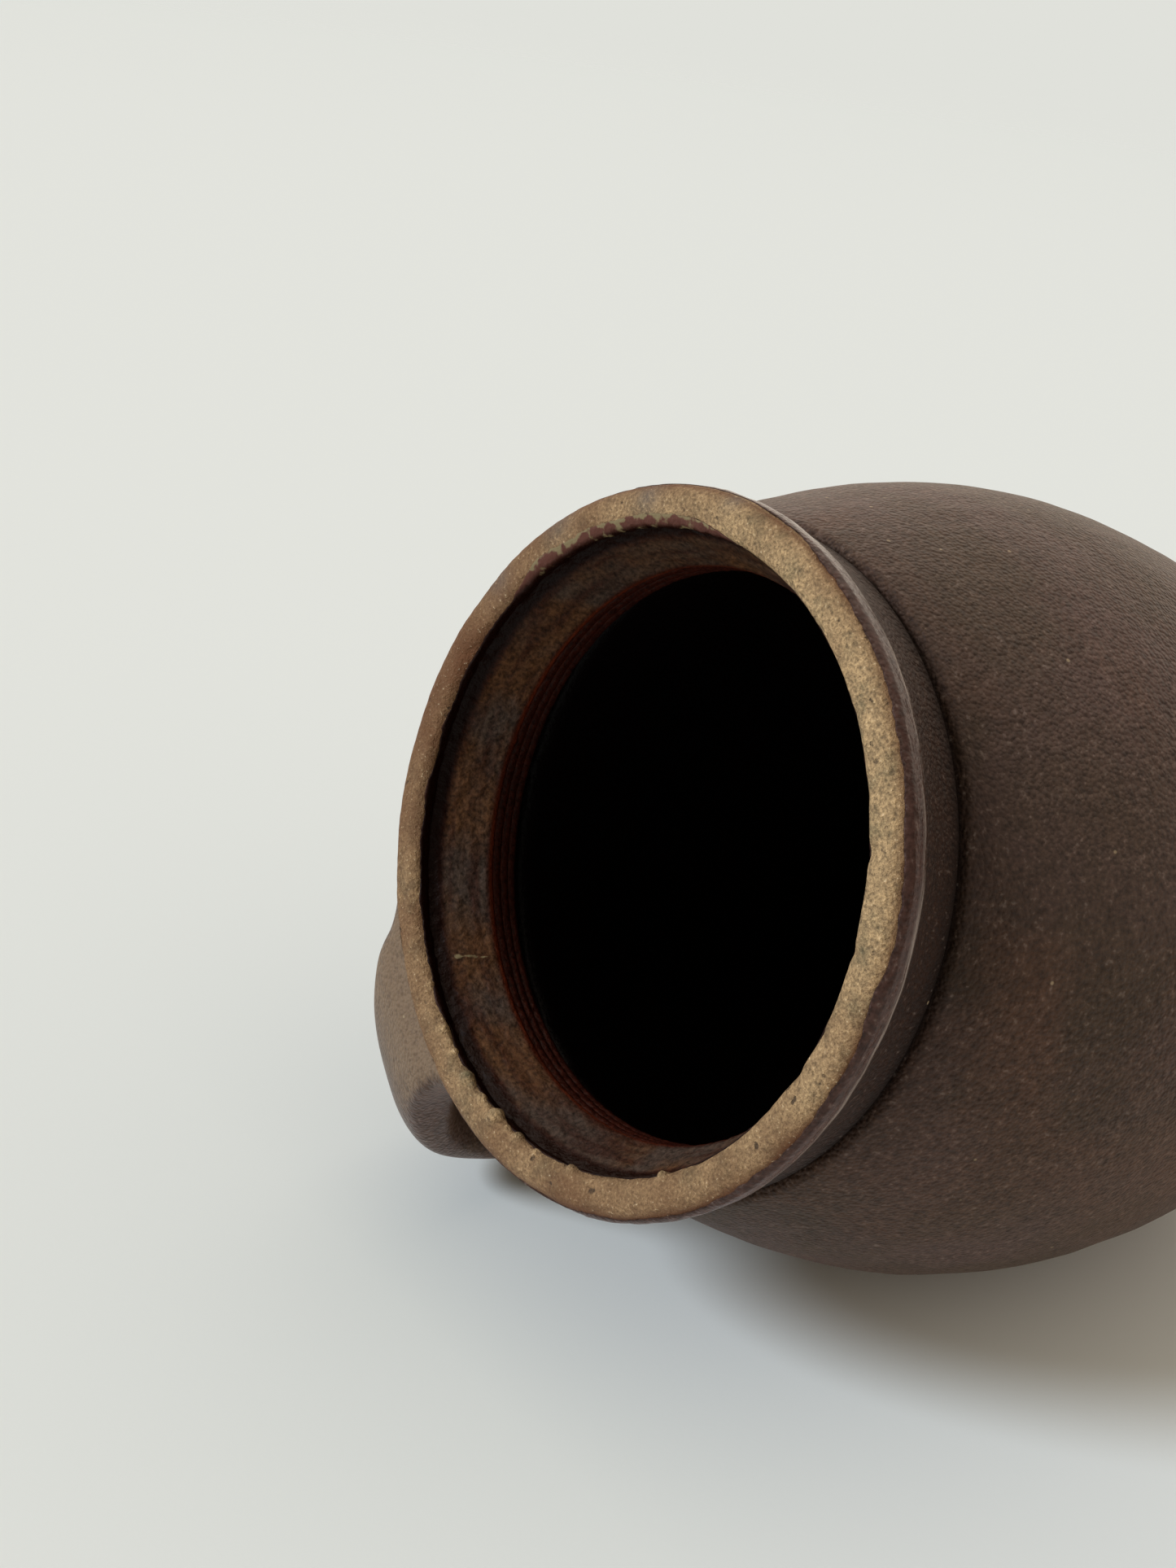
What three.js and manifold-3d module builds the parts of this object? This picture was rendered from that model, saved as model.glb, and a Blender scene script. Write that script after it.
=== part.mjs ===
// Stoneware jar with one strap handle: a thrown body with a rolled lip and an inner ledge
// for a lid, a pulled handle luted to the collar and the belly, and a coat of brown glaze
// outside and inside that leaves the lip and the foot as bare clay.
// Millimetres, +Z up along the jar's axis, origin at the centre of the flat foot,
// handle towards +Y.

import * as THREE from 'three';
import { mergeVertices } from 'three/addons/utils/BufferGeometryUtils.js';
import Module from 'manifold-3d';

const wasm = await Module();
wasm.setup();

// Driving dimensions of the body; a lean is millimetres outwards for each millimetre of height
const jarHeight = 144;
const footRadius = 41;
const heelRound = 2;
const footLean = 0.36;
const bellyRadius = 60;
const bellyHeight = 79;
const shoulderLean = 0.38;
const wallThickness = 6;
const floorThickness = 8;
const floorRound = 9;

// How far along the wall each bend of the belly is felt, in millimetres of height
const footPull = 23;
const lowerBellyPull = 26;
const upperBellyPull = 18.3;
const shoulderPull = 16.4;

// Driving dimensions of the collar, measured down from the top of the lip
const lipOuterRadius = 50;
const lipInnerRadius = 44.3;
const lipOuterRound = 2.4;
const lipInnerRound = 1.6;
const ridgeRadius = 49.6;
const ridgeDrop = 4.7;
const grooveRadius = 47.4;
const grooveDrop = 15;
const grooveDepth = 0.9;
const bandFlare = 0.4;

// Driving dimensions of the lid ledge and the throat, measured down from the top of the lip
const recessDepth = 0.9;
const recessDrop = 3.2;
const ledgeRadius = 43.9;
const ledgeDrop = 5.2;
const throatRadius = 40.6;
const throatDrop = 11.8;
const throatLength = 4.5;
const throatRingHeight = 0.5;
const throatRings = 3;

// Driving dimensions of the glaze
const glazeThickness = 0.4;
const glazeFootMargin = 6;
const glazeLipMargin = 2.4;

// Driving dimensions of the handle: its middle line leaves the collar level, bends down, reaches
// farthest out and comes back to the belly, measured outwards from the lip and down from its top
const handleWidth = 23;
const handleThickness = 9.2;
const handleTopDrop = 5.6;
const handleNeckReach = 3.7;
const handleBendReach = 21.3;
const handleBendDrop = 18;
const handleReach = 23.4;
const handleReachDrop = 42;
const handleReturnReach = 16.9;
const handleReturnDrop = 60.2;
const handleEndDrop = 67.6;
const handleRootFlare = 10;
const handleRootSwell = 2;
const handleRootLength = 0.2;
const handleSquareness = 2.6;
const lutingGap = 0.3;

// Faces round the jar, along the handle and round its section
const turns = 48;
const handleSteps = 26;
const handleSides = 16;

const lipTop = jarHeight;
const ridgeHeight = lipTop - ridgeDrop;
const grooveHeight = lipTop - grooveDrop;
const point = (radius, height) => new THREE.Vector2(radius, height);

// Points on a round corner from one angle to another, in degrees from the outward radius
function corner(centre, radius, from, to, steps) {
  const arc = new THREE.EllipseCurve(
    centre.x, centre.y, radius, radius,
    THREE.MathUtils.degToRad(from), THREE.MathUtils.degToRad(to), to < from
  );
  return arc.getPoints(steps);
}

// The belly's outer line: foot to widest place, then widest place to shoulder
const heelEnd = -THREE.MathUtils.radToDeg(Math.atan(footLean));
const heel = corner(point(footRadius - heelRound, heelRound), heelRound, -90, heelEnd, 2);
const heelTop = heel.at(-1);
const widest = point(bellyRadius, bellyHeight);
const shoulderTop = point(grooveRadius + grooveDepth, grooveHeight - grooveDepth / 2);
const lowerBelly = new THREE.CubicBezierCurve(
  heelTop,
  point(heelTop.x + footLean * footPull, heelTop.y + footPull),
  point(widest.x, widest.y - lowerBellyPull),
  widest
);
const upperBelly = new THREE.CubicBezierCurve(
  widest,
  point(widest.x, widest.y + upperBellyPull),
  point(shoulderTop.x + shoulderLean * shoulderPull, shoulderTop.y - shoulderPull),
  shoulderTop
);

// A line's points moved sideways: a positive distance moves to the right of its direction
function shifted(points, distance) {
  return points.map((at, i) => {
    const before = points[Math.max(i - 1, 0)];
    const after = points[Math.min(i + 1, points.length - 1)];
    const along = after.clone().sub(before).normalize();
    return point(at.x + along.y * distance, at.y - along.x * distance);
  });
}

// The clay's outer line from the heel up to the lip
const lowerLine = lowerBelly.getPoints(7);
const upperLine = upperBelly.getPoints(5).slice(1);
const groove = corner(point(grooveRadius + grooveDepth, grooveHeight), grooveDepth, 210, 135, 2);
const band = new THREE.QuadraticBezierCurve(
  groove.at(-1),
  point(grooveRadius + bandFlare, ridgeHeight - ridgeDrop),
  point(ridgeRadius, ridgeHeight)
).getPoints(3).slice(1);
const lipSide = point(lipOuterRadius, lipTop - lipOuterRound);
const lipOutside = corner(
  point(lipOuterRadius - lipOuterRound, lipTop - lipOuterRound), lipOuterRound, 0, 90, 3
);
const lipInside = corner(
  point(lipInnerRadius + lipInnerRound, lipTop - lipInnerRound), lipInnerRound, 90, 180, 2
);

// The clay's inner line from the lip down past the lid ledge and the throat to the floor
const recess = point(lipInnerRadius + recessDepth, lipTop - recessDrop);
const ledge = [
  point(ledgeRadius, lipTop - ledgeDrop),
  point((ledgeRadius + throatRadius) / 2, lipTop - (ledgeDrop + throatDrop) / 2),
  point(throatRadius, lipTop - throatDrop),
];
const throatLine = [];
for (let ring = 1; ring <= throatRings; ring += 1) {
  const drop = throatDrop + (throatLength * ring) / throatRings;
  const half = throatLength / throatRings / 2;
  throatLine.push(point(throatRadius + throatRingHeight, lipTop - drop + half));
  throatLine.push(point(throatRadius, lipTop - drop));
}
const throatEnd = lipTop - throatDrop - throatLength;
const innerUpper = shifted(upperLine.toReversed(), wallThickness)
  .filter((at) => at.y < throatEnd - wallThickness / 2);
const innerLower = shifted(lowerLine.toReversed(), wallThickness)
  .filter((at) => at.y > floorThickness + floorRound);
const wallFoot = innerLower.at(-1);
const floorEdge = wallFoot.x - footLean * (wallFoot.y - floorThickness);
const floorCorner = new THREE.QuadraticBezierCurve(
  wallFoot,
  point(floorEdge, floorThickness),
  point(floorEdge - floorRound, floorThickness)
).getPoints(3).slice(1);

const outerLine = [...lowerLine, ...upperLine, ...groove, ...band, lipSide];
const innerLine = [
  recess, ...ledge, ...throatLine, ...innerUpper, ...innerLower, ...floorCorner, point(0, floorThickness),
];
const clayLine = [
  point(0, 0), ...heel.slice(0, -1), ...outerLine, ...lipOutside.slice(1), ...lipInside, ...innerLine,
];

// A profile turned round the jar's axis
function turned(profile) {
  const geometry = new THREE.LatheGeometry(profile, turns);
  geometry.rotateX(Math.PI / 2);
  return geometry;
}

// Boolean cuts on closed geometries
function toSolid(geometry) {
  const plain = geometry.clone();
  plain.deleteAttribute('normal');
  plain.deleteAttribute('uv');
  const merged = mergeVertices(plain);
  return new wasm.Manifold(new wasm.Mesh({
    numProp: 3,
    vertProperties: merged.attributes.position.array,
    triVerts: merged.index.array,
  }));
}

function toGeometry(solid) {
  const mesh = solid.getMesh();
  const geometry = new THREE.BufferGeometry();
  geometry.setAttribute('position', new THREE.BufferAttribute(mesh.vertProperties, 3));
  geometry.setIndex(new THREE.BufferAttribute(mesh.triVerts, 1));
  geometry.computeVertexNormals();
  return geometry;
}

// A coat of glaze on the open side of a line of clay, with blunt edges
function coat(line) {
  const face = shifted(line, glazeThickness);
  return [...face, ...line.toReversed(), face[0].clone()];
}

// The handle: a strap lofted along a path in the plane of the Y and Z axes
const rootTop = new THREE.Vector3(0, grooveRadius - wallThickness / 2, lipTop - handleTopDrop);
const rootBottom = new THREE.Vector3(0, bellyRadius - wallThickness, lipTop - handleEndDrop);
const pathPoint = (reach, drop) => new THREE.Vector3(0, lipOuterRadius + reach, lipTop - drop);
const handlePath = new THREE.CatmullRomCurve3([
  rootTop,
  pathPoint(handleNeckReach, handleTopDrop),
  pathPoint(handleBendReach, handleBendDrop),
  pathPoint(handleReach, handleReachDrop),
  pathPoint(handleReturnReach, handleReturnDrop),
  rootBottom,
], false, 'centripetal');

// How far the root's swelling has grown: one at the ends of the path, none along its middle
function rootBlend(along) {
  const fromEnd = Math.min(along, 1 - along) / handleRootLength;
  return fromEnd < 1 ? (1 - fromEnd) ** 2 : 0;
}

function handleGeometry(extra) {
  const positions = [];
  const across = new THREE.Vector3(1, 0, 0);
  for (let step = 0; step <= handleSteps; step += 1) {
    const along = step / handleSteps;
    const centre = handlePath.getPointAt(along);
    const tangent = handlePath.getTangentAt(along);
    const outward = new THREE.Vector3().crossVectors(tangent, across);
    const swell = rootBlend(along);
    const halfWidth = (handleWidth + handleRootFlare * swell) / 2 + extra;
    const halfThickness = (handleThickness + handleRootSwell * swell) / 2 + extra;
    for (let side = 0; side < handleSides; side += 1) {
      const angle = (2 * Math.PI * side) / handleSides;
      const c = Math.cos(angle);
      const s = Math.sin(angle);
      const wide = Math.sign(c) * Math.abs(c) ** (2 / handleSquareness) * halfWidth;
      const thick = Math.sign(s) * Math.abs(s) ** (2 / handleSquareness) * halfThickness;
      const at = centre.clone().addScaledVector(across, wide).addScaledVector(outward, thick);
      positions.push(at.x, at.y, at.z);
    }
  }
  const faces = [];
  for (let step = 0; step < handleSteps; step += 1) {
    for (let side = 0; side < handleSides; side += 1) {
      const next = (side + 1) % handleSides;
      const a = step * handleSides + side;
      const b = step * handleSides + next;
      faces.push(a, b, b + handleSides, a, b + handleSides, a + handleSides);
    }
  }
  const last = handleSteps * handleSides;
  for (let side = 1; side < handleSides - 1; side += 1) {
    faces.push(0, side + 1, side);
    faces.push(last, last + side, last + side + 1);
  }
  const geometry = new THREE.BufferGeometry();
  geometry.setAttribute('position', new THREE.Float32BufferAttribute(positions, 3));
  geometry.setIndex(faces);
  return geometry;
}

// The handle's roots end on the clay wall, and the upper one also on the round of the lip
const clearOutline = shifted([...outerLine, ...lipOutside.slice(1, 3)], lutingGap);
const clearTop = lipTop + handleThickness;
const clearBody = toSolid(turned([
  point(0, 0), ...clearOutline, point(clearOutline.at(-1).x, clearTop), point(0, clearTop),
]));
const handle = toSolid(handleGeometry(0)).subtract(clearBody);

const outerStart = lowerLine.findIndex((at) => at.y > glazeFootMargin);
const outerCoatLine = [...outerLine.slice(outerStart, -1), point(lipOuterRadius, lipTop - glazeLipMargin)];
const innerCoatLine = [...lipInside.slice(1), ...innerLine];

const bareClay = new THREE.MeshStandardMaterial({ color: 0x9a8060, roughness: 0.9, metalness: 0 });
const brownGlaze = new THREE.MeshStandardMaterial({ color: 0x4a372c, roughness: 0.45, metalness: 0 });
const innerBrownGlaze = new THREE.MeshStandardMaterial({ color: 0x4a2a1e, roughness: 0.4, metalness: 0 });

const group = new THREE.Group();
function add(name, geometry, material) {
  const mesh = new THREE.Mesh(geometry, material);
  mesh.name = name;
  group.add(mesh);
}

add('clay_body', turned(clayLine), bareClay);
add('outer_glaze', toGeometry(toSolid(turned(coat(outerCoatLine))).subtract(
  toSolid(handleGeometry(lutingGap))
)), brownGlaze);
add('inner_glaze', turned(coat(innerCoatLine)), innerBrownGlaze);
add('handle', toGeometry(handle), brownGlaze);

export default group;
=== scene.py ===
"""Stoneware jar with one strap handle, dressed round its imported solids.

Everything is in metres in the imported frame: Z runs up the jar's axis and out of its mouth, the
origin is at the centre of the flat foot, and the handle points along +Y.
"""

import math

import bpy
import numpy as np
from bpy.props import FloatProperty, FloatVectorProperty, IntProperty, PointerProperty
from mathutils import Matrix, Vector


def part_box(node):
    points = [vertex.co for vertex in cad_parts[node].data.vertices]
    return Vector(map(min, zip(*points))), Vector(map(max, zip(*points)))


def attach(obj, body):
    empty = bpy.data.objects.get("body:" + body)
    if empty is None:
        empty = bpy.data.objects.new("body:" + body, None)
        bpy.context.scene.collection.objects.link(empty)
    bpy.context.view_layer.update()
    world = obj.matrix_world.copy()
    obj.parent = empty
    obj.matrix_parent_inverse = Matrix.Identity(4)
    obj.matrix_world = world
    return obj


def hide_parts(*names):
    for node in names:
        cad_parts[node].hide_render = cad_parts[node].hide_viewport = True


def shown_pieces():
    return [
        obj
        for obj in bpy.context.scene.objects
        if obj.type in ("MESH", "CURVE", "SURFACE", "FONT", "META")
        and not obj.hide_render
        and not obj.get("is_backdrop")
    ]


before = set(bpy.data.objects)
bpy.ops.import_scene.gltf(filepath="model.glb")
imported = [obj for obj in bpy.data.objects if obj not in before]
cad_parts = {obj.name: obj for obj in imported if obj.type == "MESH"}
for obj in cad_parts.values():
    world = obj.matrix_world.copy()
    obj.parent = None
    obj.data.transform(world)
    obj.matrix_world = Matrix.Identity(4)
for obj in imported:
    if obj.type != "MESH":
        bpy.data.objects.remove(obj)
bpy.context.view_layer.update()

bl_info = {
    "name": "Stoneware Jar",
    "version": (1, 0, 0),
    "blender": (4, 5, 0),
    "location": "3D View > Sidebar > Jar",
    "description": "A thrown stoneware jar with a pulled handle, its glazes and a plain table",
    "category": "Add Mesh",
}

MM = 0.001
QUARTER = math.pi / 2
ARC_STEPS = 12


def linear(hex_value):
    """The linear red, green, blue and alpha of an sRGB colour written as #rrggbb."""
    srgb = np.array([int(hex_value[i:i + 2], 16) for i in (1, 3, 5)]) / 255
    rgb = np.where(srgb <= 0.04045, srgb / 12.92, ((srgb + 0.055) / 1.055) ** 2.4)
    return (*rgb.tolist(), 1.0)


def length(name, default, description):
    """A property for one length of the jar, in metres."""
    return FloatProperty(name=name, default=default, description=description, unit="LENGTH", min=0)


def colour(name, hex_value, description):
    """A property for one colour, given as sRGB hex."""
    return FloatVectorProperty(
        name=name, default=linear(hex_value), description=description,
        subtype="COLOR", size=4, min=0, max=1,
    )


class JarBodySizes(bpy.types.PropertyGroup):
    """The thrown body, from the foot to the lip and back down to the floor."""

    lip_top: length("Height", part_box("clay_body")[1].z, "Foot to the top of the lip")
    foot_radius: length("Foot radius", 0.041, "Radius of the foot outside its round")
    heel_round: length("Heel round", 0.002, "Radius of the foot's rounded edge")
    foot_lean: FloatProperty(name="Foot lean", default=0.36, description="Outward slope above the foot")
    foot_pull: length("Foot pull", 0.023, "Height over which the foot's slope is felt")
    belly_radius: length("Belly radius", 0.060, "Radius at the widest place")
    belly_height: length("Belly height", 0.079, "Height of the widest place")
    lower_pull: length("Lower belly pull", 0.026, "Height over which the belly stays upright below")
    upper_pull: length("Upper belly pull", 0.0183, "Height over which the belly stays upright above")
    shoulder_lean: FloatProperty(name="Shoulder lean", default=0.38, description="Slope into the groove")
    shoulder_pull: length("Shoulder pull", 0.0164, "Height over which the shoulder's slope is felt")
    groove_radius: length("Groove radius", 0.0468, "Radius at the bottom of the groove")
    groove_drop: length("Groove drop", 0.015, "Lip top down to the groove")
    groove_depth: length("Groove depth", 0.0014, "Depth of the groove")
    band_flare: length("Band flare", 0.0004, "How soon the band flares to the ridge")
    ridge_radius: length("Ridge radius", 0.0496, "Radius of the collar's ridge")
    ridge_drop: length("Ridge drop", 0.0047, "Lip top down to the ridge")
    lip_outer: length("Lip outer radius", 0.050, "Outer radius of the lip")
    lip_inner: length("Lip inner radius", 0.0443, "Inner radius of the lip")
    lip_outer_round: length("Lip outer round", 0.0024, "Radius of the lip's outer edge")
    lip_inner_round: length("Lip inner round", 0.0016, "Radius of the lip's inner edge")
    recess_depth: length("Recess depth", 0.0009, "Depth of the recess under the lip")
    recess_drop: length("Recess drop", 0.0032, "Lip top down to the recess")
    ledge_radius: length("Ledge radius", 0.0439, "Radius at the top of the lid ledge")
    ledge_drop: length("Ledge drop", 0.0052, "Lip top down to the lid ledge")
    throat_radius: length("Throat radius", 0.0406, "Radius of the throat")
    throat_drop: length("Throat drop", 0.0118, "Lip top down to the throat")
    throat_length: length("Throat length", 0.0045, "Height of the ringed throat")
    ring_height: length("Ring height", 0.0005, "Depth between the throwing rings")
    rings: IntProperty(name="Rings", default=3, min=1, description="Throwing rings in the throat")
    wall: length("Wall", 0.006, "Thickness of the wall")
    floor: length("Floor", 0.008, "Thickness of the floor")
    floor_round: length("Floor round", 0.009, "Radius where the wall meets the floor")


class JarHandleSizes(bpy.types.PropertyGroup):
    """The pulled strap, measured outwards from the lip and down from its top."""

    width: length("Width", 0.023, "Width of the strap")
    thickness: length("Thickness", 0.0092, "Thickness of the strap")
    top_drop: length("Top drop", 0.0056, "Lip top down to the strap's middle where it leaves")
    neck_reach: length("Neck reach", 0.0037, "Where the strap starts to bend")
    bend_reach: length("Bend reach", 0.0213, "Reach of the bend")
    bend_drop: length("Bend drop", 0.018, "Drop of the bend")
    reach: length("Reach", 0.0234, "Farthest reach of the strap's middle")
    reach_drop: length("Reach drop", 0.042, "Drop at the farthest reach")
    return_reach: length("Return reach", 0.0169, "Reach where the strap turns back")
    return_drop: length("Return drop", 0.0602, "Drop where the strap turns back")
    end_drop: length("End drop", 0.0676, "Drop of the lower root")
    skew: length("Skew", 0.003, "How far the upper root sits to one side")
    root_flare: length("Root flare", 0.010, "Extra width at the roots")
    root_swell: length("Root swell", 0.002, "Extra thickness at the roots")
    root_share: FloatProperty(name="Root share", default=0.2, description="Share of the strap that flares")
    squareness: FloatProperty(name="Squareness", default=2.6, description="2 is round, more is squarer")
    root_square: FloatProperty(name="Root squareness", default=2.2, description="Added at the upper root")
    side_fillet: length("Side fillet", 0.0035, "Radius of the wiped clay beside the roots")
    under_fillet: length("Under fillet", 0.003, "Radius of the wiped clay under the upper root")
    top_fillet: length("Top fillet", 0.0012, "Radius where the strap meets the lip")


class JarFinish(bpy.types.PropertyGroup):
    """The glazes and their colours."""

    glaze: length("Glaze", 0.0004, "Thickness of the glaze")
    glaze_foot: length("Glaze foot margin", 0.006, "Foot up to the glaze's lower edge")
    glaze_lip: length("Glaze lip margin", 0.0013, "Lip top down to the outer glaze")
    clay: colour("Bare clay", "#a98c66", "Fired stoneware on the lip and foot")
    clay_shade: colour("Bare clay, olive", "#76684c", "Olive-grey patches of the bare clay")
    # Pale grit, brightened into painted glints where grains would catch the light
    clay_grit_and_glints: colour("Grit", "#d3bf9f", "Pale grains of grit that catch the light")
    # Also the colour of the painted shade round the handle's side of the lip
    clay_toast_and_side_shade: colour("Toasted clay", "#643f24", "Orange-brown flash beside the glaze")
    clay_stain: colour("Stained clay", "#555a5e", "Blue-grey stains on the lip")
    clay_speck: colour("Iron specks", "#2e2118", "Iron specks and pits in the clay")
    glaze_purple: colour("Glaze, purple brown", "#4c3a33", "Purple-brown patches of the glaze")
    glaze_olive: colour("Glaze, olive brown", "#423328", "Olive-brown patches of the glaze")
    glaze_warm: colour("Glaze, warm brown", "#503a2e", "Warm patches of the glaze")
    glaze_collar: colour("Glaze, collar", "#261206", "Darker glaze from the groove to the ridge")
    glaze_band: colour("Glaze, band", "#3e2a24", "Purple glossy glaze from the ridge to the lip")
    # Also paints the highlight along the ridge and the glints in the flecks
    glaze_pale_and_highlight: colour("Glaze, ridge", "#8e827a", "Glaze that broke thin and pale over the ridge")
    # Also the colour of the painted shade in the groove and on the shoulder below it
    glaze_pool_and_shade: colour("Glaze, pooled", "#100400", "Thick dark glaze in the groove")
    glaze_worn: colour("Glaze, worn", "#75614e", "Glaze rubbed thin over the handle's upper root")
    glaze_chip: colour("Glaze chips", "#a08d70", "Pale chips in the glaze")
    throat_dull: colour("Throat, dull", "#4c321f", "Dry grey-brown glaze on the ledge")
    throat_grey: colour("Throat, grey", "#3f322a", "Dry grey patches on the ledge")
    throat_red: colour("Throat, red", "#2a0e07", "Red-brown glaze round the ledge")
    throat_line: colour("Throat, line", "#6a2c17", "Thin orange glaze on the ring edges")
    lip_glaze: colour("Glaze on the lip", "#55332a", "Red-brown glaze that ran up onto the lip")
    # Pooled glaze darkened further as painted shade under the lip
    recess_pool_and_shade: colour("Recess", "#120300", "Pooled glaze in the recess under the lip")
    # Near-black painted shade inside the belly, where little light reaches
    throat_painted_shade: colour("Throat, dark", "#080404", "Pooled dark glaze inside the belly")


class JarStage(bpy.types.PropertyGroup):
    """The table that the jar lies on, the lamps and the background."""

    table: colour("Table", "#eaeeec", "Pale matt table")
    background: colour("Background", "#e0e1db", "What shows past the table")
    window_colour: colour("Window colour", "#e7f2ff", "Cool daylight")
    sky_colour: colour("Sky colour", "#fff2d4", "Light that the walls on the window's side send back")
    room_colour: colour("Room colour", "#fff1e4", "Warm light from the room behind the jar")
    sheen_colour: colour("Sheen colour", "#fff0de", "What the glaze mirrors behind the jar")
    lean: FloatProperty(name="Lean", default=math.radians(13), subtype="ANGLE",
                        description="How far the jar's axis tips mouth up from the table")
    roll: FloatProperty(name="Roll", default=math.radians(35.5), subtype="ANGLE",
                        description="Turn of the jar about its axis, from the handle to the table")
    sky: FloatProperty(name="Sky", default=0.38, min=0, description="Light from the window's side")
    room: FloatProperty(name="Room", default=0.78, min=0, description="Light from the room's side")
    window: FloatProperty(name="Window", default=2.65, min=0, description="Strength of the window light")
    fill: FloatProperty(name="Fill", default=1.2, min=0,
                        description="Soft light on the jar's back, which the table lets through")
    window_spread: FloatProperty(name="Window spread", default=math.radians(15), subtype="ANGLE",
                                 description="Angle that the window fills, which softens the shadow")
    fill_spread: FloatProperty(name="Fill spread", default=math.radians(120), subtype="ANGLE",
                               description="Angle that the soft light fills")
    sheen_least: FloatProperty(name="Least sheen", default=0.16, min=0,
                               description="What the glaze mirrors away from the brightest place")
    sheen_most: FloatProperty(name="Most sheen", default=2.0, min=0,
                              description="What the glaze mirrors at the brightest place")


def arc(centre, radius, start, end):
    """A round corner: the centre plus the radius times the cosine and sine of even angles."""
    angle = np.linspace(start, end, ARC_STEPS + 1)
    return np.column_stack([centre[0] + radius * np.cos(angle), centre[1] + radius * np.sin(angle)])


def bezier(controls, count=60):
    """A Bezier curve: neighbouring controls are mixed by t again and again until one is left."""
    t = np.linspace(0, 1, count)[:, None, None]
    level = np.repeat(np.asarray(controls, float)[None], count, axis=0)
    while level.shape[1] > 1:
        level = level[:, :-1] * (1 - t) + level[:, 1:] * t
    return level[:, 0]


def distance_along(line):
    """How far each point of a line is along it: the running sum of its steps."""
    steps = np.linalg.norm(np.diff(line, axis=0), axis=1)
    return np.concatenate([[0], np.cumsum(steps)])


def at_distance(line, wanted):
    """The points of a line at the wanted distances along it, read between its own points."""
    along = distance_along(line)
    return np.stack([np.interp(wanted, along, line[:, axis]) for axis in range(line.shape[1])], axis=-1)


def rounded(line, radius):
    """The line in even steps, each point averaged with its neighbours under a Gaussian window as
    wide as the radius. The line is turned about its ends first, so that they stay in place."""
    step = radius / 4
    count = max(int(distance_along(line)[-1] / step), 4)
    even = at_distance(line, np.linspace(0, distance_along(line)[-1], count))
    reach = 10
    before = 2 * even[0] - even[reach:0:-1]
    after = 2 * even[-1] - even[-2:-reach - 2:-1]
    padded = np.vstack([before, even, after])
    window = np.exp(-0.5 * (np.arange(-reach, reach + 1) * step / (radius / 2)) ** 2)
    window /= window.sum()
    return np.column_stack([np.convolve(padded[:, axis], window, mode="valid") for axis in (0, 1)])


def sideways(line):
    """The unit vector to the right of a line at each point, which is away from the clay."""
    along = np.gradient(line, axis=0)
    along /= np.linalg.norm(along, axis=1, keepdims=True)
    return np.column_stack([along[:, 1], -along[:, 0]])


def outer_wall(jar):
    """The wall's outer line from the heel to the lip's side: a round heel, two Bezier curves that
    meet at the belly's widest place, a round groove and a band that flares to the ridge."""
    heel_end = -math.atan(jar.foot_lean)
    heel = arc((jar.foot_radius - jar.heel_round, jar.heel_round), jar.heel_round, -QUARTER, heel_end)
    top = heel[-1]
    widest = np.array([jar.belly_radius, jar.belly_height])
    groove_height = jar.lip_top - jar.groove_drop
    shoulder = np.array([jar.groove_radius + jar.groove_depth, groove_height - jar.groove_depth / 2])
    ridge = np.array([jar.ridge_radius, jar.lip_top - jar.ridge_drop])
    lower = bezier([
        top,
        top + np.array([jar.foot_lean, 1]) * jar.foot_pull,
        widest - np.array([0, jar.lower_pull]),
        widest,
    ])
    upper = bezier([
        widest,
        widest + np.array([0, jar.upper_pull]),
        shoulder + np.array([jar.shoulder_lean, -1]) * jar.shoulder_pull,
        shoulder,
    ])
    groove = arc(
        (jar.groove_radius + jar.groove_depth, groove_height), jar.groove_depth,
        math.radians(210), math.radians(135),
    )
    band = bezier([groove[-1], (jar.groove_radius + jar.band_flare, ridge[1] - jar.ridge_drop), ridge])
    return heel, np.vstack([lower, upper[1:], groove, band[1:]])


def lip(jar):
    """The lip: its side, the round of its outer edge, a flat top and the round of its inner edge."""
    outer_centre = (jar.lip_outer - jar.lip_outer_round, jar.lip_top - jar.lip_outer_round)
    inner_centre = (jar.lip_inner + jar.lip_inner_round, jar.lip_top - jar.lip_inner_round)
    return np.vstack([
        arc(outer_centre, jar.lip_outer_round, 0, QUARTER),
        arc(inner_centre, jar.lip_inner_round, QUARTER, math.pi),
    ])


def inner_wall(jar, wall_line):
    """The inside from the lip down: a recess, the sloping lid ledge, the throat with its rings, the
    outer wall's line moved in by the wall's thickness, and a round corner onto the floor."""
    throat_top = jar.lip_top - jar.throat_drop
    throat_end = throat_top - jar.throat_length
    ring = np.arange(2 * jar.rings + 1)
    throat = np.column_stack([
        jar.throat_radius + jar.ring_height * (ring % 2),
        throat_top - jar.throat_length * ring / (2 * jar.rings),
    ])
    inside = (wall_line - sideways(wall_line) * jar.wall)[::-1]
    belly = inside[
        (inside[:, 1] < throat_end - jar.wall / 2) & (inside[:, 1] > jar.floor + jar.floor_round)
    ]
    floor_edge = belly[-1][0] - jar.foot_lean * (belly[-1][1] - jar.floor)
    corner = bezier([belly[-1], (floor_edge, jar.floor), (floor_edge - jar.floor_round, jar.floor)])
    return np.vstack([
        (jar.lip_inner + jar.recess_depth, jar.lip_top - jar.recess_drop),
        (jar.ledge_radius, jar.lip_top - jar.ledge_drop),
        throat, belly, corner[1:], (0, jar.floor),
    ])


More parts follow.
